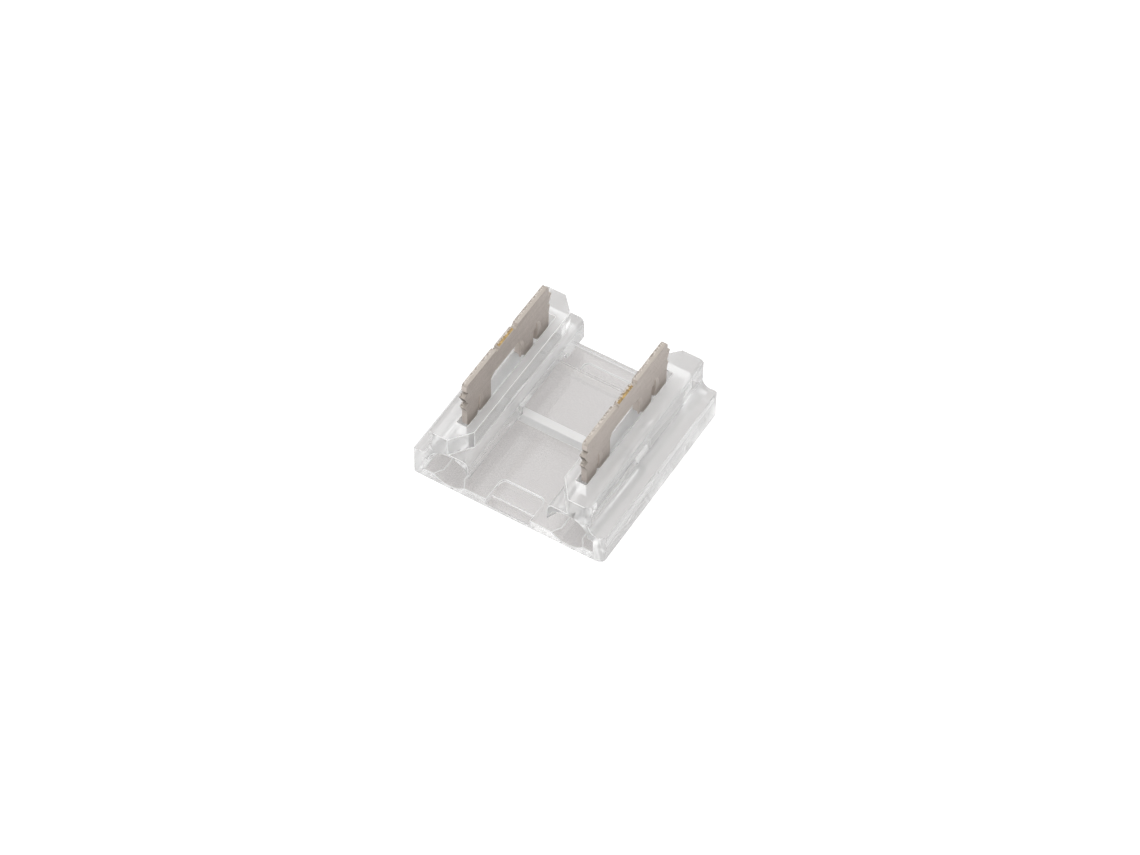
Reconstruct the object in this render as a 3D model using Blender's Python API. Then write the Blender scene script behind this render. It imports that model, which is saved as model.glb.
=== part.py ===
"""Press-down connector for a single-colour LED strip.

One clear moulded housing takes the strip at the far end (+Y) and two wires at the near end (-Y). Two stamped
blades stand in slots in its ridges. Pressed down (-Z), their tines pierce the strip's pads and the wires.
X is across the strip, Y along it, Z up. The origin is at the middle of the underside.
"""
import math

import bmesh
import bpy
from mathutils import Matrix, Vector

MM = 0.001

# Strip and wires that the connector is made for
STRIP_WIDTH = 10.0 * MM
PAD_INSET = 1.19 * MM
WIRE_MOUTH_RADIUS = 1.1 * MM

# Clearances
STRIP_SIDE_CLEARANCE = 0.43 * MM
BLADE_CLEARANCE = 0.12 * MM
BLADE_END_CLEARANCE = 0.10 * MM
TIP_CLEARANCE = 0.20 * MM
CUT_OVERRUN = 0.5 * MM

# Housing: outer form
HOUSING_LENGTH = 12.2 * MM
SIDE_WALL = 0.67 * MM
SHOULDER_HEIGHT = 2.08 * MM
SHOULDER_WIDTH = 0.36 * MM
RIDGE_HEIGHT = 4.22 * MM
RIDGE_SETBACK = 0.94 * MM
RIDGE_WIDTH = 2.29 * MM
RIDGE_TOP_ROUND = 0.23 * MM
FOOT_ROUND = 0.08 * MM
KEY_CORNER_ROUND = 0.42 * MM
CORNER_ROUND = 0.06 * MM
RIDGE_CORNER_ROUND = 0.40 * MM

# Housing: lips under the inner sides of the ridges
LIP_REACH = 0.34 * MM
LIP_SHOULDER_DROP = 1.27 * MM
LIP_ROUND_DROP = 0.50 * MM

# Housing: plan chamfers at the ridge ends, as (reach along X, reach along Y)
NEAR_CHAMFER = (0.97 * MM, 1.25 * MM)
FAR_CHAMFER = (0.90 * MM, 0.95 * MM)

# Strip slot, wire mouths, floor
FLOOR_THICKNESS = 0.62 * MM
WIRE_SLOT_FLARE = 0.23 * MM
WIRE_MOUTH_RISE = 0.86 * MM
WIRE_MOUTH_FLARE = 0.22 * MM
WIRE_MOUTH_FLARE_DEPTH = 0.55 * MM
WIRE_STOP_WALL = 0.30 * MM
RIB_Y = -0.42 * MM
RIB_THICKNESS = 0.55 * MM
RIB_HEIGHT = 0.62 * MM
PLATEAU_RISE = 0.38 * MM
PLATEAU_END_Y = 4.20 * MM
STRIP_SLOT_HEIGHT = 0.85 * MM
STRIP_MOUTH_OVER_RIB = 0.11 * MM
WIRE_SLOT_OVER_RIB = 0.13 * MM
MOUTH_RECESS_WIDTH = 8.4 * MM
MOUTH_RECESS_ROUND = 0.70 * MM

# Shallow pockets in the floor, and the deeper step at the near pocket's open end
NEAR_POCKET_DEPTH = 0.15 * MM
NEAR_POCKET_WIDTH = 2.80 * MM
NEAR_POCKET_REACH = 1.75 * MM
NEAR_STEP_DEPTH = 0.38 * MM
NEAR_STEP_REACH = 0.58 * MM
NEAR_STEP_ROUND = 0.08 * MM
FAR_POCKET_DEPTH = 0.10 * MM
FAR_POCKET_WIDTH = 3.60 * MM
FAR_POCKET_REACH = 0.93 * MM
POCKET_ROUND = 0.35 * MM

# Contact blade, heights measured from its top edge
BLADE_THICKNESS = 0.34 * MM
BLADE_NEAR_Y = -4.38 * MM
BLADE_LENGTH = 8.44 * MM
BLADE_TOP_RAISED = 7.14 * MM
BLADE_HEIGHT = 4.04 * MM
BLADE_TRAVEL = 2.60 * MM
BRIDGE_DEPTH = 1.64 * MM
WINDOW_NEAR_Y = -1.95 * MM
WINDOW_LENGTH = 2.93 * MM
WINDOW_ROUND = 0.45 * MM
WINDOW_FOOT_DEPTH = 2.78 * MM
TOP_CORNER_ROUND = 0.25 * MM
TINE_TAPER_DEPTH = 3.25 * MM
NEAR_SLIT_Y = -3.26 * MM
NEAR_SLIT_WIDTH = 0.10 * MM
NEAR_SLIT_TOP = 2.80 * MM
FAR_SLIT_Y = 2.58 * MM
FAR_SLIT_WIDTH = 0.28 * MM
FAR_SLIT_TOP = 2.22 * MM
TIP_WIDTH = 0.12 * MM
TIP_PLACES = (-3.80 * MM, -2.20 * MM, 2.20 * MM, 3.85 * MM)

# Cropped tie bar along the blade's top edge
NOTCH_PLACES = (-1.20 * MM, 0.66 * MM)
NOTCH_WIDTH = 0.34 * MM
NOTCH_DEPTH = 0.22 * MM
TIE_BAR_DROP = 0.05 * MM
TIE_BAR_ROLL = 0.10 * MM

# Barbs on the blade's ends, as (tip below the top edge, reach, length below the tip)
NEAR_BARBS = ((0.80 * MM, 0.25 * MM, 0.55 * MM), (1.65 * MM, 0.22 * MM, 0.50 * MM))
FAR_BARBS = ((0.86 * MM, 0.28 * MM, 0.56 * MM), (1.72 * MM, 0.14 * MM, 0.44 * MM))
BARB_NECK = 0.13 * MM
BARB_NECK_HEIGHT = 0.12 * MM
BARB_SHOULDER_HEIGHT = 0.28 * MM

# Pressed half-oval lances on the blade's +X face
LANCE_HEIGHT = 0.08 * MM
LANCE_WIDTH = 0.44 * MM
LANCE_TOPS = (1.94 * MM, 1.74 * MM, 1.84 * MM)
LANCE_INSET = 0.03 * MM
LANCE_FOOT = 3.05 * MM

# Facets in a quarter turn, and the distance at which a turned shape's doubled points merge
QUARTER_STEPS = 6
MERGE_DISTANCE = 0.001 * MM

BLADE_PITCH = STRIP_WIDTH - 2 * PAD_INSET
SLOT_HALF = STRIP_WIDTH / 2 + STRIP_SIDE_CLEARANCE
HOUSING_HALF = SLOT_HALF + SIDE_WALL
NEAR_Y = -HOUSING_LENGTH / 2
FAR_Y = HOUSING_LENGTH / 2
RIDGE_OUTER = HOUSING_HALF - RIDGE_SETBACK
RIDGE_INNER = RIDGE_OUTER - RIDGE_WIDTH
LIP_INNER = RIDGE_INNER - LIP_REACH
RIB_TOP = FLOOR_THICKNESS + RIB_HEIGHT
PLATEAU_TOP = FLOOR_THICKNESS + PLATEAU_RISE
STRIP_CEILING = PLATEAU_TOP + STRIP_SLOT_HEIGHT
MOUTH_CEILING = RIB_TOP + STRIP_MOUTH_OVER_RIB
WIRE_CEILING = RIB_TOP + WIRE_SLOT_OVER_RIB
BLADE_FAR_Y = BLADE_NEAR_Y + BLADE_LENGTH
WINDOW_FAR_Y = WINDOW_NEAR_Y + WINDOW_LENGTH
BLADE_TOP_PRESSED = BLADE_TOP_RAISED - BLADE_TRAVEL
BARB_REACH = max(reach for tip, reach, length in NEAR_BARBS + FAR_BARBS)


def arc(centre, radii, first, last, steps=QUARTER_STEPS):
    """Points along an elliptic arc between two angles in degrees, both ends included."""
    points = []
    for step in range(steps + 1):
        angle = math.radians(first + (last - first) * step / steps)
        across = centre[0] + radii[0] * math.cos(angle)
        up = centre[1] + radii[1] * math.sin(angle)
        points.append((across, up))
    return points


def mirrored(points):
    """The same points with the first coordinate turned over, in reverse order."""
    return [(-across, up) for across, up in reversed(points)]


def in_space(point, axis, depth):
    """A drawn point in space: X outlines are drawn in (Y, Z), Y outlines in (X, Z), Z outlines in (X, Y)."""
    first, second = point
    if axis == "X":
        return Vector((depth, first, second))
    if axis == "Y":
        return Vector((first, depth, second))
    return Vector((first, second, depth))


def add_prism(mesh, outline, axis, start, end):
    """Draw an outline at start and extrude it along its axis to end."""
    corners = [mesh.verts.new(in_space(point, axis, start)) for point in outline]
    face = mesh.faces.new(corners)
    grown = bmesh.ops.extrude_face_region(mesh, geom=[face])
    moved = [item for item in grown["geom"] if isinstance(item, bmesh.types.BMVert)]
    bmesh.ops.translate(mesh, verts=moved, vec=in_space((0, 0), axis, end - start))


def make_object(name, mesh, location=(0, 0, 0)):
    """Turn a bmesh into an object whose faces point outwards."""
    bmesh.ops.recalc_face_normals(mesh, faces=mesh.faces)
    data = bpy.data.meshes.new(name)
    mesh.to_mesh(data)
    mesh.free()
    item = bpy.data.objects.new(name, data)
    item.location = location
    bpy.context.scene.collection.objects.link(item)
    return item


def prism(name, outline, axis, start, end, location=(0, 0, 0)):
    """One object extruded from one outline."""
    mesh = bmesh.new()
    add_prism(mesh, outline, axis, start, end)
    return make_object(name, mesh, location)


def combine(target, tool, operation):
    """Join or cut target with tool, and hide the tool."""
    modifier = target.modifiers.new(tool.name, "BOOLEAN")
    modifier.operation = operation
    modifier.solver = "EXACT"
    modifier.object = tool
    tool.hide_render = True
    tool.display_type = "WIRE"
    return tool


def both_sides(name, outline, axis, start, end):
    """A pair of prisms, one a mirror image of the other across the middle plane."""
    mesh = bmesh.new()
    add_prism(mesh, outline, axis, start, end)
    if axis == "X":
        add_prism(mesh, outline, axis, -end, -start)
    else:
        add_prism(mesh, mirrored(outline), axis, start, end)
    return make_object(name, mesh)


def material(name, colour, roughness, metallic, transmission=0.0, ior=1.5):
    """A plain Principled material."""
    made = bpy.data.materials.new(name)
    made.use_nodes = True
    shader = made.node_tree.nodes["Principled BSDF"]
    shader.inputs["Base Color"].default_value = (*colour, 1.0)
    shader.inputs["Roughness"].default_value = roughness
    shader.inputs["Metallic"].default_value = metallic
    shader.inputs["Transmission Weight"].default_value = transmission
    shader.inputs["IOR"].default_value = ior
    return made


def housing_outline():
    """Section across the strip: floor, side walls, fillets, ridges and the rounded lips between them."""
    fillet = RIDGE_SETBACK - SHOULDER_WIDTH
    fillet_centre = (RIDGE_OUTER + fillet, SHOULDER_HEIGHT + fillet)
    top_round = (RIDGE_TOP_ROUND, RIDGE_TOP_ROUND)
    top_centre = (RIDGE_OUTER - RIDGE_TOP_ROUND, RIDGE_HEIGHT - RIDGE_TOP_ROUND)
    foot_centre = (HOUSING_HALF - FOOT_ROUND, FOOT_ROUND)
    wall_centre = (HOUSING_HALF - FOOT_ROUND, SHOULDER_HEIGHT - FOOT_ROUND)
    small_round = (FOOT_ROUND, FOOT_ROUND)
    lip_top = RIDGE_HEIGHT - LIP_SHOULDER_DROP
    lip_centre = (RIDGE_INNER, lip_top - LIP_ROUND_DROP)
    right = arc(foot_centre, small_round, -90, 0, 3)
    right += arc(wall_centre, small_round, 0, 90, 3)
    right += arc(fillet_centre, (fillet, fillet), 270, 180)
    right += arc(top_centre, top_round, 0, 90)
    right.append((RIDGE_INNER, RIDGE_HEIGHT))
    right += arc(lip_centre, (LIP_REACH, LIP_ROUND_DROP), 90, 180)
    right.append((LIP_INNER, RIB_TOP + STRIP_MOUTH_OVER_RIB / 2))
    return right + mirrored(right)


def slot_outline():
    """Section along the strip of the flat slot: wire half, cross rib, strip half and the strip's mouth."""
    near = NEAR_Y - CUT_OVERRUN
    far = FAR_Y + CUT_OVERRUN
    rib_far = RIB_Y + RIB_THICKNESS
    return [
        (near, FLOOR_THICKNESS),
        (RIB_Y, FLOOR_THICKNESS),
        (RIB_Y, RIB_TOP),
        (rib_far, RIB_TOP),
        (rib_far, PLATEAU_TOP),
        (far, PLATEAU_TOP),
        (far, MOUTH_CEILING),
        (PLATEAU_END_Y, MOUTH_CEILING),
        (PLATEAU_END_Y, STRIP_CEILING),
        (RIB_Y, STRIP_CEILING),
        (RIB_Y, WIRE_CEILING),
        (near, WIRE_CEILING + WIRE_SLOT_FLARE),
    ]


def tongue_outline(half_width, start, end, rounding):
    """Plan of a cut that is open at end, with its two corners at start rounded."""
    inward = rounding if end > start else -rounding
    centre = (half_width - rounding, start + inward)
    first = -90 if end > start else 90
    right = arc(centre, (rounding, rounding), first, 0)
    right.append((half_width, end))
    return right + mirrored(right)


def corner_outline(corner, towards, rounding):
    """Plan of what a rounded corner leaves out; towards is the way into the material along each axis."""
    centre = (corner[0] + towards[0] * rounding, corner[1] + towards[1] * rounding)
    out = (corner[0] - towards[0] * CUT_OVERRUN, corner[1] - towards[1] * CUT_OVERRUN)
    points = []
    for step in range(QUARTER_STEPS + 1):
        angle = math.pi / 2 * step / QUARTER_STEPS
        across = centre[0] - towards[0] * rounding * math.cos(angle)
        along = centre[1] - towards[1] * rounding * math.sin(angle)
        points.append((across, along))
    return [(out[0], centre[1])] + points + [(centre[0], out[1]), out]


def chamfer_outline(end_y, into, reach):
    """Plan of the corner taken off a ridge's inner side at one end; into points along Y into the ridge."""
    across, along = reach
    spare = CUT_OVERRUN / min(reach)
    outer = (RIDGE_INNER + across * (1 + spare), end_y - into * along * spare)
    inner = (RIDGE_INNER - across * spare, end_y + into * along * (1 + spare))
    return [outer, inner, (inner[0], outer[1])]


def wire_mouths():
    """Two round wire bores with flared mouths, turned about lines along Y."""
    outer = WIRE_MOUTH_RADIUS + WIRE_MOUTH_FLARE
    far = RIB_Y - WIRE_STOP_WALL
    profile = [
        (0, NEAR_Y - CUT_OVERRUN),
        (outer, NEAR_Y - CUT_OVERRUN),
        (outer, NEAR_Y),
        (WIRE_MOUTH_RADIUS, NEAR_Y + WIRE_MOUTH_FLARE_DEPTH),
        (WIRE_MOUTH_RADIUS, far),
        (0, far),
    ]
    height = FLOOR_THICKNESS + WIRE_MOUTH_RISE
    mesh = bmesh.new()
    for side in (-1, 1):
        axis_point = Vector((side * BLADE_PITCH / 2, 0, height))
        points = [mesh.verts.new(axis_point + Vector((radius, along, 0))) for radius, along in profile]
        edges = [mesh.edges.new(pair) for pair in zip(points, points[1:])]
        bmesh.ops.spin(
            mesh,
            geom=points + edges,
            cent=axis_point,
            axis=(0, 1, 0),
            angle=math.tau,
            steps=4 * QUARTER_STEPS,
        )
    bmesh.ops.remove_doubles(mesh, verts=mesh.verts, dist=MERGE_DISTANCE)
    return make_object("wire_mouth_cutter", mesh)


def blade_slot_outline():
    """Section of a ridge's slot: open over both feet, with a block left where the blade's bridge lands."""
    near = BLADE_NEAR_Y - BARB_REACH - BLADE_END_CLEARANCE
    far = BLADE_FAR_Y + BARB_REACH + BLADE_END_CLEARANCE
    top = RIDGE_HEIGHT + CUT_OVERRUN
    block_top = BLADE_TOP_PRESSED - BRIDGE_DEPTH - BLADE_CLEARANCE
    block_near = WINDOW_NEAR_Y + BLADE_CLEARANCE
    block_far = WINDOW_FAR_Y - BLADE_CLEARANCE
    rounding = WINDOW_ROUND - BLADE_CLEARANCE
    centre = (block_near + rounding, block_top - rounding)
    outline = [(near, top), (near, RIB_TOP), (block_near, RIB_TOP)]
    outline += arc(centre, (rounding, rounding), 180, 90)
    outline += [(block_far, block_top), (block_far, RIB_TOP), (far, RIB_TOP), (far, top)]
    return outline


def tine_edges():
    """Near and far edge of each of the four tines, where their tapers start."""
    return [
        (BLADE_NEAR_Y, NEAR_SLIT_Y - NEAR_SLIT_WIDTH / 2),
        (NEAR_SLIT_Y + NEAR_SLIT_WIDTH / 2, WINDOW_NEAR_Y),
        (WINDOW_FAR_Y, FAR_SLIT_Y - FAR_SLIT_WIDTH / 2),
        (FAR_SLIT_Y + FAR_SLIT_WIDTH / 2, BLADE_FAR_Y),
    ]


def slot_sides():
    """X range of the left-hand slot and of the right-hand one, wide enough for the sheet and its lances."""
    sides = []
    for side in (-1, 1):
        middle = side * BLADE_PITCH / 2
        low = middle - BLADE_THICKNESS / 2 - BLADE_CLEARANCE
        high = middle + BLADE_THICKNESS / 2 + LANCE_HEIGHT + BLADE_CLEARANCE
        sides.append((low, high))
    return sides


def cut_blade_slots(housing):
    """Slots through the ridges, and a small pocket in the floor under each tine's point."""
    mesh = bmesh.new()
    for low, high in slot_sides():
        add_prism(mesh, blade_slot_outline(), "X", low, high)
    combine(housing, make_object("blade_slot_cutter", mesh), "DIFFERENCE")
    tip = BLADE_TOP_PRESSED - BLADE_HEIGHT
    shoulder = BLADE_TOP_PRESSED - TINE_TAPER_DEPTH
    spare = TIP_WIDTH / 2 + BLADE_CLEARANCE
    for number, (place, edges) in enumerate(zip(TIP_PLACES, tine_edges())):
        outline = [
            (place - spare, tip - TIP_CLEARANCE),
            (place + spare, tip - TIP_CLEARANCE),
            (edges[1] + BLADE_CLEARANCE, shoulder),
            (edges[0] - BLADE_CLEARANCE, shoulder),
        ]
        mesh = bmesh.new()
        for low, high in slot_sides():
            add_prism(mesh, outline, "X", low, high)
        combine(housing, make_object(f"tine_pocket_cutter_{number + 1}", mesh), "DIFFERENCE")


def sink(housing, name, half_width, start, end, rounding, depth):
    """Cut a pocket into the floor, from start to its open end, to a depth below the floor's own level."""
    plan = tongue_outline(half_width, start, end, rounding)
    clear_level = (PLATEAU_TOP + RIB_TOP) / 2
    cutter = prism(f"{name}_cutter", plan, "Z", FLOOR_THICKNESS - depth, clear_level)
    combine(housing, cutter, "DIFFERENCE")


def build_housing():
    """The clear moulding: one section along Y, then the cuts that the mould's cores make."""
    housing = prism("housing", housing_outline(), "Y", NEAR_Y, FAR_Y)
    top = RIDGE_HEIGHT + CUT_OVERRUN
    ridge_foot = SHOULDER_HEIGHT + RIDGE_SETBACK - SHOULDER_WIDTH
    lip_top = RIDGE_HEIGHT - LIP_SHOULDER_DROP

    corners = (
        ("key_corner_cutter", (HOUSING_HALF, NEAR_Y), (-1, 1), KEY_CORNER_ROUND, -CUT_OVERRUN),
        ("near_corner_cutter", (-HOUSING_HALF, NEAR_Y), (1, 1), CORNER_ROUND, -CUT_OVERRUN),
        ("right_corner_cutter", (HOUSING_HALF, FAR_Y), (-1, -1), CORNER_ROUND, -CUT_OVERRUN),
        ("left_corner_cutter", (-HOUSING_HALF, FAR_Y), (1, -1), CORNER_ROUND, -CUT_OVERRUN),
        ("right_ridge_cutter", (RIDGE_OUTER, NEAR_Y), (-1, 1), RIDGE_CORNER_ROUND, ridge_foot),
        ("left_ridge_cutter", (-RIDGE_OUTER, NEAR_Y), (1, 1), RIDGE_CORNER_ROUND, ridge_foot),
    )
    for name, corner, towards, rounding, bottom in corners:
        outline = corner_outline(corner, towards, rounding)
        combine(housing, prism(name, outline, "Z", bottom, top), "DIFFERENCE")

    for name, end_y, into, reach in (
        ("near_chamfer_cutter", NEAR_Y, 1, NEAR_CHAMFER),
        ("far_chamfer_cutter", FAR_Y, -1, FAR_CHAMFER),
    ):
        outline = chamfer_outline(end_y, into, reach)
        combine(housing, both_sides(name, outline, "Z", lip_top, top), "DIFFERENCE")

    slot = prism("strip_slot_cutter", slot_outline(), "X", -SLOT_HALF, SLOT_HALF)
    combine(housing, slot, "DIFFERENCE")

    recess_half = MOUTH_RECESS_WIDTH / 2
    after_edge = FAR_Y + CUT_OVERRUN
    sink(housing, "mouth_recess", recess_half, PLATEAU_END_Y, after_edge, MOUTH_RECESS_ROUND, 0)

    near_half = NEAR_POCKET_WIDTH / 2
    far_half = FAR_POCKET_WIDTH / 2
    before_edge = NEAR_Y - CUT_OVERRUN
    near_end = NEAR_Y + NEAR_POCKET_REACH
    step_end = NEAR_Y + NEAR_STEP_REACH
    far_end = PLATEAU_END_Y + FAR_POCKET_REACH
    sink(housing, "near_pocket", near_half, near_end, before_edge, POCKET_ROUND, NEAR_POCKET_DEPTH)
    sink(housing, "near_step", near_half, step_end, before_edge, NEAR_STEP_ROUND, NEAR_STEP_DEPTH)
    sink(housing, "far_pocket", far_half, far_end, PLATEAU_END_Y, POCKET_ROUND, FAR_POCKET_DEPTH)

    combine(housing, wire_mouths(), "DIFFERENCE")
    cut_blade_slots(housing)
    clear = material("clear_polycarbonate", (0.86, 0.87, 0.88), 0.06, 0.0, 1.0, 1.58)
    housing.data.materials.append(clear)
    return housing


def notch(place, left_level, right_level):
    """Round-bottomed notch in the top edge, where the tie bar was cropped."""
    radius = NOTCH_WIDTH / 2
    points = [(place - radius, left_level)]
    points += arc((place, radius - NOTCH_DEPTH), (radius, radius), 180, 360)
    points.append((place + radius, right_level))
    return points


def barbs(edge, outward, list_of_barbs):
    """Barbs down one end of the blade: flat on top, tapering below, with a small recess above each."""
    points = []
    for tip, reach, length in list_of_barbs:
        points.append((edge, -(tip - BARB_SHOULDER_HEIGHT)))
        points.append((edge - outward * BARB_NECK, -(tip - BARB_NECK_HEIGHT)))
        points.append((edge + outward * reach, -tip))
        points.append((edge, -(tip + length)))
    return points


def tine(place, far_shoulder, near_shoulder):
    """The point of one tine, from its far edge to its near edge."""
    return [
        far_shoulder,
        (place + TIP_WIDTH / 2, -BLADE_HEIGHT),
        (place - TIP_WIDTH / 2, -BLADE_HEIGHT),
        near_shoulder,
    ]


def blade_outline():
    """The stamped blade seen from its side, with its top edge at height 0."""
    corner = (TOP_CORNER_ROUND, TOP_CORNER_ROUND)
    taper = -TINE_TAPER_DEPTH
    edges = tine_edges()
    outline = arc((BLADE_NEAR_Y + TOP_CORNER_ROUND, -TOP_CORNER_ROUND), corner, 180, 90)
    outline += notch(NOTCH_PLACES[0], 0, -TIE_BAR_DROP)
    outline += notch(NOTCH_PLACES[1], -TIE_BAR_DROP, 0)
    outline += arc((BLADE_FAR_Y - TOP_CORNER_ROUND, -TOP_CORNER_ROUND), corner, 90, 0)
    outline += barbs(BLADE_FAR_Y, 1, FAR_BARBS)
    outline += tine(TIP_PLACES[3], (edges[3][1], taper), (edges[3][0], taper))
    slit = FAR_SLIT_WIDTH / 2
    outline += arc((FAR_SLIT_Y, -FAR_SLIT_TOP - slit), (slit, slit), 0, 180)
    outline += tine(TIP_PLACES[2], (edges[2][1], taper), (edges[2][0], -WINDOW_FOOT_DEPTH))
    outline.append((WINDOW_FAR_Y, -BRIDGE_DEPTH))
    window_centre = (WINDOW_NEAR_Y + WINDOW_ROUND, -BRIDGE_DEPTH - WINDOW_ROUND)
    outline += arc(window_centre, (WINDOW_ROUND, WINDOW_ROUND), 90, 180)
    outline += tine(TIP_PLACES[1], (edges[1][1], taper), (edges[1][0], taper))
    slit = NEAR_SLIT_WIDTH / 2
    outline += arc((NEAR_SLIT_Y, -NEAR_SLIT_TOP - slit), (slit, slit), 0, 180, 4)
    outline += tine(TIP_PLACES[0], (edges[0][1], taper), (edges[0][0], taper))
    outline += reversed(barbs(BLADE_NEAR_Y, -1, NEAR_BARBS))
    return outline


def lance(name, edge, top, location):
    """A pressed half-oval: a flattened ball cut straight along the edge that it stands on."""
    mesh = bmesh.new()
    half_height = (LANCE_FOOT - top) / 2
    middle = Vector((BLADE_THICKNESS / 2, edge + LANCE_INSET, -(LANCE_FOOT + top) / 2))
    size = Matrix.Diagonal((LANCE_HEIGHT, LANCE_WIDTH, half_height, 1.0))
    bmesh.ops.create_uvsphere(
        mesh,
        u_segments=4 * QUARTER_STEPS,
        v_segments=2 * QUARTER_STEPS,
        radius=1.0,
        matrix=Matrix.Translation(middle) @ size,
    )
    everything = mesh.verts[:] + mesh.edges[:] + mesh.faces[:]
    cut = bmesh.ops.bisect_plane(
        mesh,
        geom=everything,
        dist=1e-9,
        plane_co=middle,
        plane_no=(0, -1, 0),
        clear_outer=True,
    )
    rim = [item for item in cut["geom_cut"] if isinstance(item, bmesh.types.BMEdge)]
    bmesh.ops.holes_fill(mesh, edges=rim)
    return make_object(name, mesh, location)


def build_blade(name, side, plating):
    """One stamped blade, its origin on the line that it slides along."""
    place = (side * BLADE_PITCH / 2, 0, BLADE_TOP_RAISED)
    half = BLADE_THICKNESS / 2
    blade = prism(name, blade_outline(), "X", -half, half, place)

    rolled = corner_outline((half, -TIE_BAR_DROP), (-1, -1), TIE_BAR_ROLL)
    start = NOTCH_PLACES[0] + NOTCH_WIDTH / 2
    end = NOTCH_PLACES[1] - NOTCH_WIDTH / 2
    cutter = prism(f"{name}_roll_cutter", rolled, "Y", start, end, place)
    combine(blade, cutter, "DIFFERENCE")

    for number, (edges, top) in enumerate(zip(tine_edges()[1:], LANCE_TOPS)):
        combine(blade, lance(f"{name}_lance_{number + 1}", edges[0], top, place), "UNION")
    blade.data.materials.append(plating)
    return blade


def clear_scene():
    """Remove every object in the scene."""
    for item in list(bpy.data.objects):
        bpy.data.objects.remove(item, do_unlink=True)


def main():
    clear_scene()
    build_housing()
    plating = material("nickel_plated_brass", (0.74, 0.70, 0.64), 0.32, 1.0)
    build_blade("contact_blade_left", -1, plating)
    build_blade("contact_blade_right", 1, plating)


main()
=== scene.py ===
# %% [markdown]
# # A clear LED strip connector with two raised contact blades
# The real thing is one small clear moulding and two stamped metal blades. A flat LED strip goes in at one end
# and two wires at the other, and the blades are pressed down through both. This lesson dresses the measured
# model for a picture: first the camera, the table and the light, then the moulding, then the blades.

# %% Load the measured model
import math

import bpy
from mathutils import Matrix, Vector


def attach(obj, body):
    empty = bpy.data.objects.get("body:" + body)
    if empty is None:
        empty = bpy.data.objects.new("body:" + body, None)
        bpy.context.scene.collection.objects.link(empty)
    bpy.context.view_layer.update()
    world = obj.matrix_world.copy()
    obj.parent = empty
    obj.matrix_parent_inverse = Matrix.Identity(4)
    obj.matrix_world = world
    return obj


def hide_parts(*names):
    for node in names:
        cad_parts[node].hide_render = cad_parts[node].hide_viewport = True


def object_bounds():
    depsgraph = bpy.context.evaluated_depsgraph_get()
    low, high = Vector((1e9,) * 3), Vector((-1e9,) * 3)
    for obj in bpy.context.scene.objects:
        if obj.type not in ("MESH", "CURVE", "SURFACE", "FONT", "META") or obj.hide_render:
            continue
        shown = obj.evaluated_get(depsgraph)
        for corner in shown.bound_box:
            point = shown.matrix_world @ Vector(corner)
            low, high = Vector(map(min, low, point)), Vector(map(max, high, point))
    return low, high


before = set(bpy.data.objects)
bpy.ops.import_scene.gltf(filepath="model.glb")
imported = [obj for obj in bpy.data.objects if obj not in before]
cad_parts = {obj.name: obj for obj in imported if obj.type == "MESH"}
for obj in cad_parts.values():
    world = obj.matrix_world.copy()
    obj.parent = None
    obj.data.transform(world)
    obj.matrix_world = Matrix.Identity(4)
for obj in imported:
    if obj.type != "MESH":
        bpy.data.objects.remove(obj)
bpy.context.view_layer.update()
MM = 0.001
low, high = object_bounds()
print("model measures", [round(size / MM, 2) for size in high - low], "mm")

# %% [markdown]
# ## The camera
# The photo looks down on the part from its near right, from about 22 cm, with a long lens, so its edges
# hardly converge. A camera can be set by eye, but here its angles, distance and lens were worked out from the
# part's own straight edges. It is turned about its view line by half a degree because the photo is.

# %% Where the camera stands
VIEW_AZIMUTH = math.radians(31.19)
VIEW_ELEVATION = math.radians(51.60)
VIEW_CENTRE_HEIGHT = 2.0 * MM
VIEW_DISTANCE = 222.2 * MM
VIEW_RIGHT = 0.22 * MM
VIEW_DOWN = 0.40 * MM

level_reach = math.cos(VIEW_ELEVATION)
towards_camera = Vector(
    (math.sin(VIEW_AZIMUTH) * level_reach, -math.cos(VIEW_AZIMUTH) * level_reach, math.sin(VIEW_ELEVATION))
)
to_the_right = Vector((math.cos(VIEW_AZIMUTH), math.sin(VIEW_AZIMUTH), 0))
upwards = towards_camera.cross(to_the_right)
part_centre = Vector((0, 0, VIEW_CENTRE_HEIGHT))
camera_place = part_centre + towards_camera * VIEW_DISTANCE
aim = part_centre + to_the_right * VIEW_RIGHT - upwards * VIEW_DOWN
print("camera at", [round(value / MM, 1) for value in camera_place], "mm")

# %% Place the camera
VIEW_ROLL = math.radians(0.59)
LENS_MM = 127.1
SENSOR_MM = 36.0
NEAREST_SEEN = 10 * MM
FURTHEST_SEEN = 20
bpy.ops.object.camera_add(location=camera_place)
camera = bpy.context.active_object
camera.name = "photo_camera"
camera.data.lens = LENS_MM
camera.data.sensor_width = SENSOR_MM
camera.data.clip_start = NEAREST_SEEN
camera.data.clip_end = FURTHEST_SEEN
facing = (camera_place - aim).to_track_quat("Z", "Y").to_matrix().to_4x4()
camera.matrix_world = Matrix.Translation(camera_place) @ facing @ Matrix.Rotation(VIEW_ROLL, 4, "Z")
bpy.context.scene.camera = camera
bpy.context.scene.view_settings.view_transform = "Standard"
print("lens", round(camera.data.lens, 1), "mm")

# %% [markdown]
# ## White tent, table and light
# The photo was taken in a white tent: light comes from everywhere and the background is pure white. Clear
# plastic only shows what is around it, so the surroundings matter more than the lamps. One white surface
# could serve for everything, but then the plastic would vanish against it. So the tent and the table have
# three strengths each: one for what lights the part, one for what the plastic and reflections show, and pure
# white for the camera.

# %% Helpers for node trees
def node_tree(owner):
    """Empty node tree of a material or a world."""
    owner.use_nodes = True
    owner.node_tree.nodes.clear()
    return owner.node_tree


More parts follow.
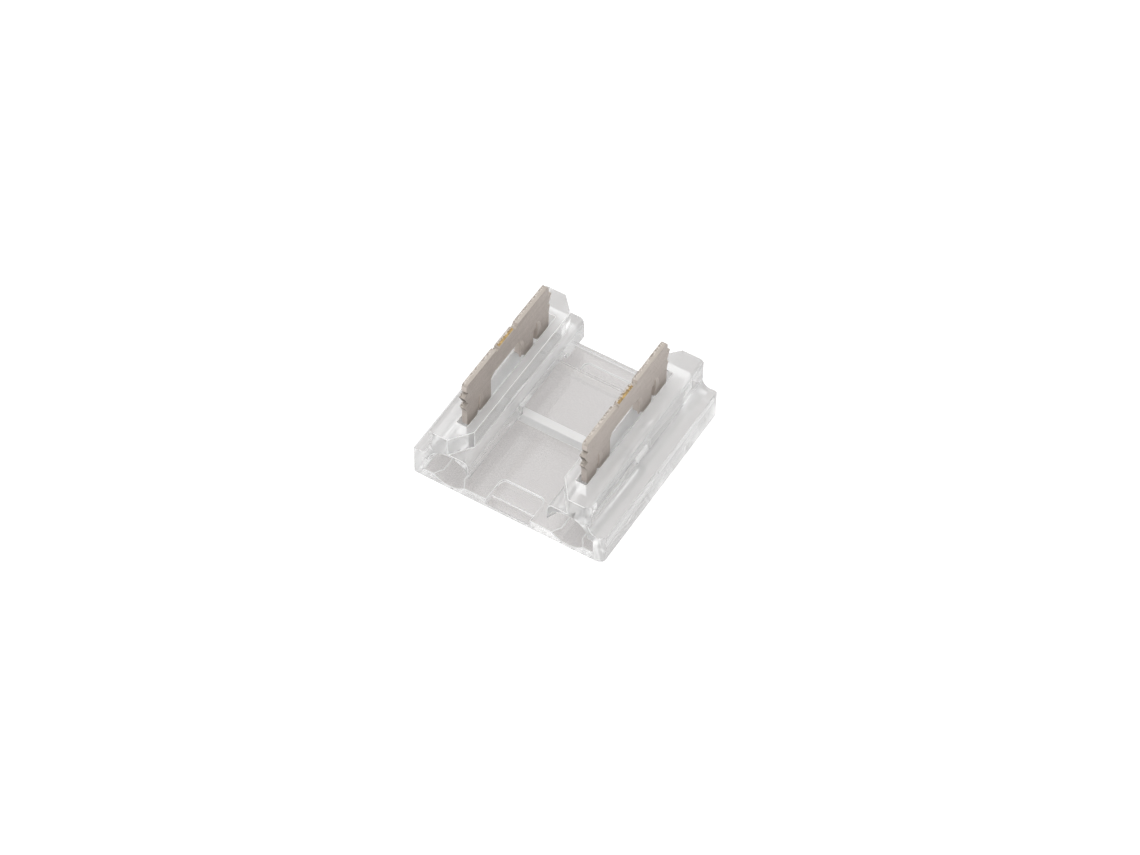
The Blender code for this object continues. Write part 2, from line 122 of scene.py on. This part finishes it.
def add_node(tree, kind, settings=None, **values):
    """Add a node and set its sockets: s0, s1... go by number, and a socket given as a value is linked."""
    node = tree.nodes.new(kind)
    for name, value in (settings or {}).items():
        setattr(node, name, value)
    for name, value in values.items():
        by_number = name[0] == "s" and name[1:].isdigit()
        socket = node.inputs[int(name[1:]) if by_number else name]
        if isinstance(value, bpy.types.NodeSocket):
            tree.links.new(value, socket)
        else:
            socket.default_value = value
    return node


def calculate(tree, operation, first, second=0.0, third=0.0):
    """One sum on values."""
    node = add_node(tree, "ShaderNodeMath", {"operation": operation}, s0=first, s1=second, s2=third)
    return node.outputs["Value"]


def ramp(tree, value, start, end, at_start, at_end):
    """A straight line from at_start to at_end, while another value goes from start to end."""
    node = add_node(tree, "ShaderNodeMapRange", s0=value, s1=start, s2=end, s3=at_start, s4=at_end)
    return node.outputs["Result"]


def ray_strength(tree, lighting, seen_through, seen_directly):
    """A strength by what looks: the part being lit, a reflection or the plastic, or the camera."""
    path = add_node(tree, "ShaderNodeLightPath").outputs
    either = calculate(tree, "MAXIMUM", path["Is Glossy Ray"], path["Is Transmission Ray"])
    not_direct = ramp(tree, either, 0.0, 1.0, lighting, seen_through)
    return ramp(tree, path["Is Camera Ray"], 0.0, 1.0, not_direct, seen_directly)


# %% The white tent
TENT_LIGHT = 0.86
TENT_SEEN_THROUGH = 0.96
TENT_SEEN = 1.0
WHITE = (1.0, 1.0, 1.0, 1.0)
world = bpy.data.worlds.new("white_tent")
bpy.context.scene.world = world
tree = node_tree(world)
background = add_node(
    tree,
    "ShaderNodeBackground",
    Color=WHITE,
    Strength=ray_strength(tree, TENT_LIGHT, TENT_SEEN_THROUGH, TENT_SEEN),
)
add_node(tree, "ShaderNodeOutputWorld", Surface=background.outputs["Background"])
print("world", world.name)

# %% The table
FLOOR_SIZE = 3.0
FLOOR_GAP = 0.01 * MM
FLOOR_COLOUR = (0.55, 0.55, 0.55, 1.0)
FLOOR_GLOW_THROUGH = 0.45
FLOOR_GLOW = 0.68
bpy.ops.object.select_all(action="DESELECT")
bpy.ops.mesh.primitive_plane_add(size=FLOOR_SIZE, location=(0, 0, -FLOOR_GAP))
floor = bpy.context.active_object
floor.name = "floor"
floor_paint = bpy.data.materials.new("white_table")
tree = node_tree(floor_paint)
matt = add_node(tree, "ShaderNodeBsdfDiffuse", Color=FLOOR_COLOUR)
glow = add_node(tree, "ShaderNodeEmission", Strength=ray_strength(tree, 0.0, FLOOR_GLOW_THROUGH, FLOOR_GLOW))
both = add_node(tree, "ShaderNodeAddShader", s0=matt.outputs["BSDF"], s1=glow.outputs["Emission"])
add_node(tree, "ShaderNodeOutputMaterial", Surface=both.outputs["Shader"])
floor.data.materials.append(floor_paint)
print("floor", FLOOR_SIZE, "m wide")

# %% Two soft lamps
def softbox(name, direction, distance, size, watts):
    """A square area lamp that faces the part from a direction."""
    place = Vector(direction).normalized() * distance
    bpy.ops.object.light_add(type="AREA", location=place)
    lamp = bpy.context.active_object
    lamp.name = name
    lamp.data.size = size
    lamp.data.energy = watts
    lamp.rotation_euler = place.to_track_quat("Z", "Y").to_euler()
    return lamp


softbox("overhead_softbox", direction=(-0.5, 0.5, 1.4), distance=0.6, size=0.60, watts=0.8)
softbox("side_softbox", direction=(1.0, -0.9, 0.9), distance=0.6, size=0.40, watts=0.42)

# %% [markdown]
# Light that enters a thin clear wall by its edge is trapped and runs along it like a light pipe, a dozen
# bounces from face to face, before it leaves by the other edge. Few bounces render faster, but turn those
# edges black.

# %% Let light bounce often enough for clear plastic
LIGHT_PIPE_BOUNCES = 40
cycles = bpy.context.scene.cycles
cycles.max_bounces = LIGHT_PIPE_BOUNCES
cycles.diffuse_bounces = LIGHT_PIPE_BOUNCES
cycles.glossy_bounces = LIGHT_PIPE_BOUNCES
cycles.transmission_bounces = LIGHT_PIPE_BOUNCES
print("bounces", cycles.max_bounces)

# %% [markdown]
# ## The clear moulding: its shape
# The housing is one piece of clear polycarbonate, shot into a polished steel mould. A mould has no perfectly
# sharp corners, and on clear plastic each small round catches a bright line. The rounds could be drawn as
# solids, but they are far too small to measure, so a Bevel modifier makes them on a copy of the measured
# solid, whose loose triangles are first merged into whole faces.
#
# A bevel goes wrong where edges meet in too little room: with its clamp on, one short edge makes every round
# on the piece too thin to see, and with the clamp off it throws out spikes. So the clamp is off, and only
# edges with room at both of their ends get a bevel weight. Where a round ends it can leave two corners in one
# place, with a face of no area between them, so corners are merged once more after the bevel.

# %% Copy a measured solid
MERGE_DISTANCE = 0.0005 * MM
FLAT_ANGLE = math.radians(0.6)


def select_only(piece):
    """Make one piece the selected and active one."""
    bpy.ops.object.select_all(action="DESELECT")
    bpy.context.view_layer.objects.active = piece
    piece.select_set(True)


def merge_mesh(piece, whole_faces):
    """Merge corners that lie in one place and, when asked, flat groups of triangles into whole faces."""
    select_only(piece)
    bpy.ops.object.mode_set(mode="EDIT")
    bpy.ops.mesh.select_all(action="SELECT")
    bpy.ops.mesh.remove_doubles(threshold=MERGE_DISTANCE)
    if whole_faces:
        bpy.ops.mesh.customdata_custom_splitnormals_clear()
        bpy.ops.mesh.dissolve_limited(angle_limit=FLAT_ANGLE)
    bpy.ops.object.mode_set(mode="OBJECT")


def working_copy(node_name, piece_name):
    """A copy of a measured solid as a new piece, with whole faces in place of loose triangles."""
    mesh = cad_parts[node_name].data.copy()
    mesh.name = piece_name
    mesh.materials.clear()
    piece = bpy.data.objects.new(piece_name, mesh)
    bpy.context.scene.collection.objects.link(piece)
    merge_mesh(piece, whole_faces=True)
    return piece


# %% Mark the edges that can be rounded
EDGE_ANGLE = math.radians(24)
ROOM_FACTOR = 1.6
NARROW_CORNER = math.radians(15)


def room_at_corners(mesh):
    """The shortest edge at each corner of a mesh, or 0 where a face comes to a narrow point."""
    corners = [vertex.co for vertex in mesh.vertices]
    room = [1.0] * len(corners)
    for edge in mesh.edges:
        length = (corners[edge.vertices[0]] - corners[edge.vertices[1]]).length
        for end in edge.vertices:
            room[end] = min(room[end], length)
    for face in mesh.polygons:
        ring = list(face.vertices)
        for before, here, after in zip(ring[-1:] + ring[:-1], ring, ring[1:] + ring[:1]):
            if (corners[before] - corners[here]).angle(corners[after] - corners[here]) < NARROW_CORNER:
                room[here] = 0.0
    return room


def mark_sharp_edges(mesh, width):
    """Give a bevel weight to each sharp edge that has room for its round at both of its ends."""
    room = room_at_corners(mesh)
    normals = {edge.key: [] for edge in mesh.edges}
    for face in mesh.polygons:
        for key in face.edge_keys:
            normals[key].append(face.normal)
    weights = mesh.attributes.new("bevel_weight_edge", "FLOAT", "EDGE")
    marked = 0
    for edge in mesh.edges:
        sides = normals[edge.key]
        sharp = len(sides) == 2 and sides[0].angle(sides[1]) > EDGE_ANGLE
        if sharp and min(room[end] for end in edge.vertices) > ROOM_FACTOR * width:
            weights.data[edge.index].value = 1.0
            marked += 1
    return marked


# %% Round the marked edges
def round_edges(piece, width, segments, slot_number):
    """Round the sharp edges by a small width, and give the rounds the finish in one of the piece's slots."""
    print(piece.name, "gets", mark_sharp_edges(piece.data, width), "rounded edges")
    bevel = piece.modifiers.new("edge_round", "BEVEL")
    bevel.width = width
    bevel.segments = segments
    bevel.limit_method = "WEIGHT"
    bevel.miter_outer = "MITER_ARC"
    bevel.use_clamp_overlap = False
    bevel.harden_normals = True
    bevel.material = slot_number
    select_only(piece)
    bpy.ops.object.shade_smooth_by_angle(angle=EDGE_ANGLE)
    bpy.ops.object.modifier_apply(modifier=bevel.name)
    merge_mesh(piece, whole_faces=False)
    print(piece.name, "has", len(piece.data.polygons), "faces")


# %% [markdown]
# ## The clear moulding: its plastic
# The plastic passes light and bends it strongly, but the photo shows it soft and slightly milky, because the
# skin of a moulding is never perfectly smooth. A mix of white and clear would do for one wall, but it darkens
# light that is trapped inside and meets the skin a dozen times. So the skin is hazy only for light that
# arrives from outside: the Backfacing output of the Geometry node is 0 there, and 1 for light that meets a
# face from within.
#
# The walls carry the straight polishing lines of the mould, and the floor the fine grain of a worn one. The
# shadow of the part on the table under it is painted as a soft grey on the underside, but not along its very
# edge, where the walls bring in white.

# %% Helpers for patterns
NOISE_FROM = 0.3
NOISE_TO = 0.7


def band(tree, value, start, end):
    """0 below start and 1 above end, with a straight ramp between."""
    return ramp(tree, value, start, end, 0.0, 1.0)


def spread(tree, noise, low_end, high_end):
    """A noise, which seldom leaves the middle of its range, stretched to lie between two ends."""
    return ramp(tree, noise, NOISE_FROM, NOISE_TO, low_end, high_end)


def blend_value(tree, share, first, second):
    """One value where share is 0 and the other where it is 1."""
    mixed = add_node(tree, "ShaderNodeMix", {"data_type": "FLOAT"}, s0=share, s2=first, s3=second)
    return mixed.outputs[0]


def blend_colour(tree, share, first, second):
    """One colour where share is 0 and the other where it is 1."""
    mixed = add_node(tree, "ShaderNodeMix", {"data_type": "RGBA"}, s0=share, s6=first, s7=second)
    return mixed.outputs[2]


def stretched_noise(tree, place, sizes, detail):
    """Noise whose grains measure sizes along X, Y and Z."""
    scale = tuple(1.0 / size for size in sizes)
    stretch = add_node(tree, "ShaderNodeMapping", Vector=place, Scale=scale).outputs["Vector"]
    return add_node(tree, "ShaderNodeTexNoise", Vector=stretch, Scale=1.0, Detail=detail).outputs["Fac"]


# %% Where the floor and the painted shadow on the underside are
SOFT_STEP = 0.10 * MM
FLOOR_LEVEL = 1.3 * MM
SLOT_HALF = 5.40 * MM
UNDERSIDE_TOP = 0.04 * MM
UNDERSIDE_FULL = 0.02 * MM
PAINTED_SHADOW_INSET = 5.98 * MM
WALL_TINT = (0.998, 0.998, 0.998, 1.0)
# The two underside colours below are painted shadow: the table's shade under the part, kept off the very
# edge.
UNDERSIDE_PAINTED_SHADOW = (0.67, 0.63, 0.62, 1.0)
GRAINED_PAINTED_SHADOW = (0.56, 0.525, 0.515, 1.0)


def floor_share(tree, height, across):
    """1 low down between the side walls, where the mould was worn, and 0 elsewhere."""
    low_down = band(tree, height, FLOOR_LEVEL + SOFT_STEP, FLOOR_LEVEL)
    between_walls = band(tree, across, SLOT_HALF + SOFT_STEP, SLOT_HALF)
    return calculate(tree, "MULTIPLY", low_down, between_walls)


def inner_tint_and_painted_shadow(tree, height, across, along, grain):
    """Light from within: a grained painted shadow of the table on the underside, nearly nothing elsewhere."""
    underside = band(tree, height, UNDERSIDE_TOP, UNDERSIDE_FULL)
    reach = calculate(tree, "MAXIMUM", across, along)
    off_the_edge = band(tree, reach, PAINTED_SHADOW_INSET + SOFT_STEP, PAINTED_SHADOW_INSET)
    # Painted shadow: the shaded table under the part, as a grained grey on the underside.
    grey = blend_colour(tree, spread(tree, grain, 0.0, 1.0), UNDERSIDE_PAINTED_SHADOW, GRAINED_PAINTED_SHADOW)
    return blend_colour(tree, calculate(tree, "MULTIPLY", underside, off_the_edge), WALL_TINT, grey)


# %% The plastic's material
PLASTIC_IOR = 1.50
GRAIN = (0.11 * MM, 0.11 * MM, 0.11 * MM)
POLISHING_LINES = (0.30 * MM, 14.0 * MM, 0.30 * MM)
HAZE_CLOUDS = (2.4 * MM, 2.4 * MM, 2.4 * MM)
MOULD_BUMP_STRENGTH = 0.12
MOULD_BUMP_HEIGHT = 0.004 * MM


def clear_plastic(name, clarity, floor_clarity, clarity_within, skin_colour, roughness):
    """Clear plastic under a faintly hazy skin, with polishing lines, a grained floor and painted shadow
    underneath.
    """
    made = bpy.data.materials.new(name)
    tree = node_tree(made)
    place = add_node(tree, "ShaderNodeTexCoord").outputs["Object"]
    where = add_node(tree, "ShaderNodeSeparateXYZ", Vector=place).outputs
    across = calculate(tree, "ABSOLUTE", where["X"])
    along = calculate(tree, "ABSOLUTE", where["Y"])
    grain = stretched_noise(tree, place, GRAIN, detail=2.0)
    lines = stretched_noise(tree, place, POLISHING_LINES, detail=1.0)
    clouds = stretched_noise(tree, place, HAZE_CLOUDS, detail=3.0)
    on_floor = floor_share(tree, where["Z"], across)
    bump = add_node(
        tree,
        "ShaderNodeBump",
        Strength=MOULD_BUMP_STRENGTH,
        Distance=MOULD_BUMP_HEIGHT,
        Height=blend_value(tree, on_floor, lines, grain),
    )
    # Base colour for light from within: a faint wall tint, and painted shadow on the underside.
    tint_and_painted_shadow = inner_tint_and_painted_shadow(tree, where["Z"], across, along, grain)
    from_within = add_node(tree, "ShaderNodeNewGeometry").outputs["Backfacing"]
    clarity_outside = blend_value(tree, on_floor, clarity, floor_clarity)
    sockets = {
        "Base Color": blend_colour(tree, from_within, skin_colour, tint_and_painted_shadow),
        "Roughness": spread(tree, clouds, *roughness),
        "IOR": PLASTIC_IOR,
        "Transmission Weight": blend_value(tree, from_within, clarity_outside, clarity_within),
        "Normal": bump.outputs["Normal"],
    }
    shader = add_node(tree, "ShaderNodeBsdfPrincipled", **sockets)
    add_node(tree, "ShaderNodeOutputMaterial", Surface=shader.outputs["BSDF"])
    return made


# %% [markdown]
# The same plastic looks polished or matt as the steel behind it was. The open faces are polished. The rounds,
# which no polishing tool reaches, and the cross rib are matt and nearly white, and draw the bright lines of
# the photo. The steel cores that form narrow slots are often spark-eroded, which leaves the slots matt. One
# function makes all four finishes, so that they differ only in the numbers of the table below.

# %% The finishes of the moulding
POLISHED_SKIN = (0.96, 0.955, 0.95, 1.0)
MATT_SKIN = (0.97, 0.97, 0.965, 1.0)
FINISHES = {
    # name: (clarity, clarity on the floor, clarity from within, skin colour, least and most roughness)
    "clear_polycarbonate": (0.71, 0.95, 1.0, POLISHED_SKIN, (0.06, 0.11)),
    "matt_mould_edge": (0.12, 0.12, 1.0, MATT_SKIN, (0.22, 0.32)),
    "matt_rib": (0.15, 0.15, 1.0, MATT_SKIN, (0.30, 0.40)),
    "matt_slot_wall": (0.50, 0.50, 0.85, MATT_SKIN, (0.40, 0.50)),
}
finishes = [clear_plastic(name, *values) for name, values in FINISHES.items()]
print("plastic finishes:", [finish.name for finish in finishes])

# %% Make the moulding
MOULD_ROUND = 0.04 * MM
MOULD_ROUND_STEPS = 2
MATT_EDGE_SLOT = 1
moulding = working_copy("housing", "clear_moulding")
for finish in finishes:
    moulding.data.materials.append(finish)
round_edges(moulding, MOULD_ROUND, MOULD_ROUND_STEPS, MATT_EDGE_SLOT)
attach(moulding, "housing")
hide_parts("housing")

# %% Give the cross rib its matt faces
RIB_SLOT = 2
RIB_FROM = Vector((-3.6, -0.47, 0.66)) * MM
RIB_TO = Vector((3.6, 0.18, 1.30)) * MM


def finish_between(piece, slot_number, low_corner, high_corner):
    """Give a finish to the faces of a piece whose middles lie inside a box, and count them."""
    found = 0
    for face in piece.data.polygons:
        if all(least <= value <= most for least, value, most in zip(low_corner, face.center, high_corner)):
            face.material_index = slot_number
            found += 1
    return found


print("rib has", finish_between(moulding, RIB_SLOT, RIB_FROM, RIB_TO), "faces")

# %% [markdown]
# The box for the blade slots goes by the middles of faces, so it also takes in the ceilings over the strip,
# which are as matt as the slots. It starts just above the floor between the ridges, because a big floor face
# with its middle in the box would turn matt as a whole and show a slanted line where it meets the next one.

# %% Give the blade slots their matt walls
SLOT_WALL_SLOT = 3
SLOT_INNER = 3.35 * MM
SLOT_OUTER = 4.28 * MM
SLOT_END = 4.70 * MM
SLOT_BOTTOM = 1.05 * MM
SLOT_MOUTH = 4.10 * MM
walls = 0
for left_side, right_side in ((SLOT_INNER, SLOT_OUTER), (-SLOT_OUTER, -SLOT_INNER)):
    low_corner = (left_side, -SLOT_END, SLOT_BOTTOM)
    high_corner = (right_side, SLOT_END, SLOT_MOUTH)
    walls += finish_between(moulding, SLOT_WALL_SLOT, low_corner, high_corner)
print("slots have", walls, "wall faces")

# %% [markdown]
# ## The contact blades: their shape
# Each blade is cropped and lanced from thin brass strip and plated with nickel. The solid already has its
# slits, notches and barbs, so the copy only gets a very small round, which lets its edges catch the light.

# %% Make the blades
BLADE_ROUND = 0.015 * MM
BLADE_ROUND_STEPS = 1
PLATING_SLOT = 0
BLADES = {"contact_blade_left": "blade_left", "contact_blade_right": "blade_right"}
blades = []
for node_name, body_name in BLADES.items():
    blade = working_copy(node_name, "plated_" + node_name)
    round_edges(blade, BLADE_ROUND, BLADE_ROUND_STEPS, PLATING_SLOT)
    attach(blade, body_name)
    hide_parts(node_name)
    blades.append(blade)

# %% [markdown]
# ## The contact blades: nickel, torn edges and bare brass
# The rolled faces are satin, with faint lines along the strip that the sheet was rolled in. A cropped edge
# has two zones: a smooth burnished one where the punch cut, and a rough torn one where the metal broke. The
# blade's ends carry painted light, and its undersides, which look into the slot, painted shade. The last cut,
# at the tie bar, came after plating, so brass shows there. Each zone could be a material of its own on its
# own faces, but a zone also ends in the middle of a face, so one material finds them all by place and by
# which way a face looks.

# %% Satin nickel on the rolled faces
NICKEL = (0.57, 0.51, 0.47, 1.0)
NICKEL_DARK = (0.47, 0.42, 0.38, 1.0)
ROLLING_LINES = (0.1 * MM, 1.6 * MM, 0.05 * MM)
SPECKLE = (0.08 * MM, 0.08 * MM, 0.08 * MM)
DARK_NICKEL_NOISE = (0.40, 0.60)


def satin_nickel(tree, place, rolling):
    """The colour of a rolled face: half lines, half speckle."""
    speckle = stretched_noise(tree, place, SPECKLE, detail=2.0)
    mottled = calculate(tree, "MULTIPLY_ADD", speckle, 0.5, calculate(tree, "MULTIPLY", rolling, 0.5))
    return blend_colour(tree, band(tree, mottled, *DARK_NICKEL_NOISE), NICKEL, NICKEL_DARK)


# %% Burnished and torn metal on the cropped edges, with painted light and painted shade
BLADE_PITCH = 7.62 * MM
BLADE_THICKNESS = 0.34 * MM
TORN_DEPTH = 0.14 * MM
TORN_SWAY = 0.35 * MM
TORN_STEP = 0.02 * MM
BURNISHED = (0.47, 0.42, 0.375, 1.0)
TORN = (0.60, 0.55, 0.50, 1.0)
TORN_DARK = (0.30, 0.26, 0.23, 1.0)
# Painted light: end faces, which face along the strip, are made lighter, as if lit from the front.
END_PAINTED_LIGHT = (0.66, 0.59, 0.54, 1.0)
# Painted shade: faces that look down into the slot are made dark.
UNDERSIDE_PAINTED_SHADE = (0.10, 0.085, 0.07, 1.0)
DARK_TORN_NOISE = (0.47, 0.53)
FACING_AN_END = (0.80, 0.95)
FACING_DOWN = (-0.15, -0.45)


def torn_share(tree, where, tear):
    """1 on the torn side of a blade's edge, 0 on the burnished side, with a ragged line between."""
    across = calculate(tree, "WRAP", where["X"], 0.0, BLADE_PITCH)
    swayed = calculate(tree, "MULTIPLY_ADD", calculate(tree, "SUBTRACT", tear, 0.5), TORN_SWAY, across)
    torn_from = BLADE_PITCH / 2 - BLADE_THICKNESS / 2 + TORN_DEPTH
    return band(tree, swayed, torn_from + TORN_STEP, torn_from - TORN_STEP)


def edge_metal(tree, facing, torn_side, tear):
    """The colour of a cropped edge, with painted light on the ends and painted shade on the undersides."""
    torn = blend_colour(tree, band(tree, tear, *DARK_TORN_NOISE), TORN, TORN_DARK)
    colour = blend_colour(tree, torn_side, BURNISHED, torn)
    # Painted light on the end faces, then painted shade on the down-facing faces.
    on_end = band(tree, calculate(tree, "ABSOLUTE", facing["Y"]), *FACING_AN_END)
    colour = blend_colour(tree, on_end, colour, END_PAINTED_LIGHT)
    return blend_colour(tree, band(tree, facing["Z"], *FACING_DOWN), colour, UNDERSIDE_PAINTED_SHADE)


# %% Bare brass where the tie bar was cut off
TIE_BAR_FROM = -1.03 * MM
TIE_BAR_TO = 0.49 * MM
TIE_BAR_END_STEP = 0.06 * MM
TIE_BAR_HEIGHT = 6.95 * MM
TIE_BAR_HEIGHT_STEP = 0.08 * MM
BARE_BRASS = (0.55, 0.37, 0.14, 1.0)
BRASS_DARK = (0.26, 0.18, 0.09, 1.0)
DARK_BRASS_NOISE = (0.42, 0.58)


def brass_share(tree, where, torn_side):
    """1 on the burnished side of the cut in the middle of a blade's top edge, and 0 elsewhere."""
    after = band(tree, where["Y"], TIE_BAR_FROM, TIE_BAR_FROM + TIE_BAR_END_STEP)
    before = band(tree, where["Y"], TIE_BAR_TO, TIE_BAR_TO - TIE_BAR_END_STEP)
    high_up = band(tree, where["Z"], TIE_BAR_HEIGHT, TIE_BAR_HEIGHT + TIE_BAR_HEIGHT_STEP)
    tie_bar = calculate(tree, "MULTIPLY", calculate(tree, "MULTIPLY", after, before), high_up)
    return calculate(tree, "MULTIPLY", tie_bar, calculate(tree, "SUBTRACT", 1.0, torn_side))


# %% The blade's material
TEAR = (0.12 * MM, 0.09 * MM, 0.3 * MM)
SATIN_CLOUDS = (0.5 * MM, 0.5 * MM, 0.5 * MM)
SATIN_ROUGHNESS = (0.44, 0.56)
FACING_OFF_THE_SIDES = (0.75, 0.45)
SATIN_METALLIC = 0.40
METAL_BUMP_STRENGTH = 0.5
METAL_BUMP_HEIGHT = 0.02 * MM


def plated_brass():
    """Satin nickel on rolled faces, burnished and torn metal on cropped edges, brass at the tie bar."""
    made = bpy.data.materials.new("nickel_plated_brass")
    tree = node_tree(made)
    source = add_node(tree, "ShaderNodeTexCoord").outputs
    where = add_node(tree, "ShaderNodeSeparateXYZ", Vector=source["Object"]).outputs
    facing = add_node(tree, "ShaderNodeSeparateXYZ", Vector=source["Normal"]).outputs
    rolling = stretched_noise(tree, source["Object"], ROLLING_LINES, detail=3.0)
    tear = stretched_noise(tree, source["Object"], TEAR, detail=4.0)
    clouds = stretched_noise(tree, source["Object"], SATIN_CLOUDS, detail=3.0)
    cropped = band(tree, calculate(tree, "ABSOLUTE", facing["X"]), *FACING_OFF_THE_SIDES)
    torn_side = torn_share(tree, where, tear)
    edge = edge_metal(tree, facing, torn_side, tear)
    colour = blend_colour(tree, cropped, satin_nickel(tree, source["Object"], rolling), edge)
    bare = calculate(tree, "MULTIPLY", brass_share(tree, where, torn_side), cropped)
    brass = blend_colour(tree, band(tree, tear, *DARK_BRASS_NOISE), BARE_BRASS, BRASS_DARK)
    bump = add_node(
        tree,
        "ShaderNodeBump",
        Strength=METAL_BUMP_STRENGTH,
        Distance=METAL_BUMP_HEIGHT,
        Height=blend_value(tree, cropped, rolling, tear),
    )
    sockets = {
        "Base Color": blend_colour(tree, bare, colour, brass),
        "Metallic": SATIN_METALLIC,
        "Roughness": spread(tree, clouds, *SATIN_ROUGHNESS),
        "Normal": bump.outputs["Normal"],
    }
    shader = add_node(tree, "ShaderNodeBsdfPrincipled", **sockets)
    add_node(tree, "ShaderNodeOutputMaterial", Surface=shader.outputs["BSDF"])
    return made


plating = plated_brass()
for blade in blades:
    blade.data.materials.append(plating)
print("blades finished:", [blade.name for blade in blades])
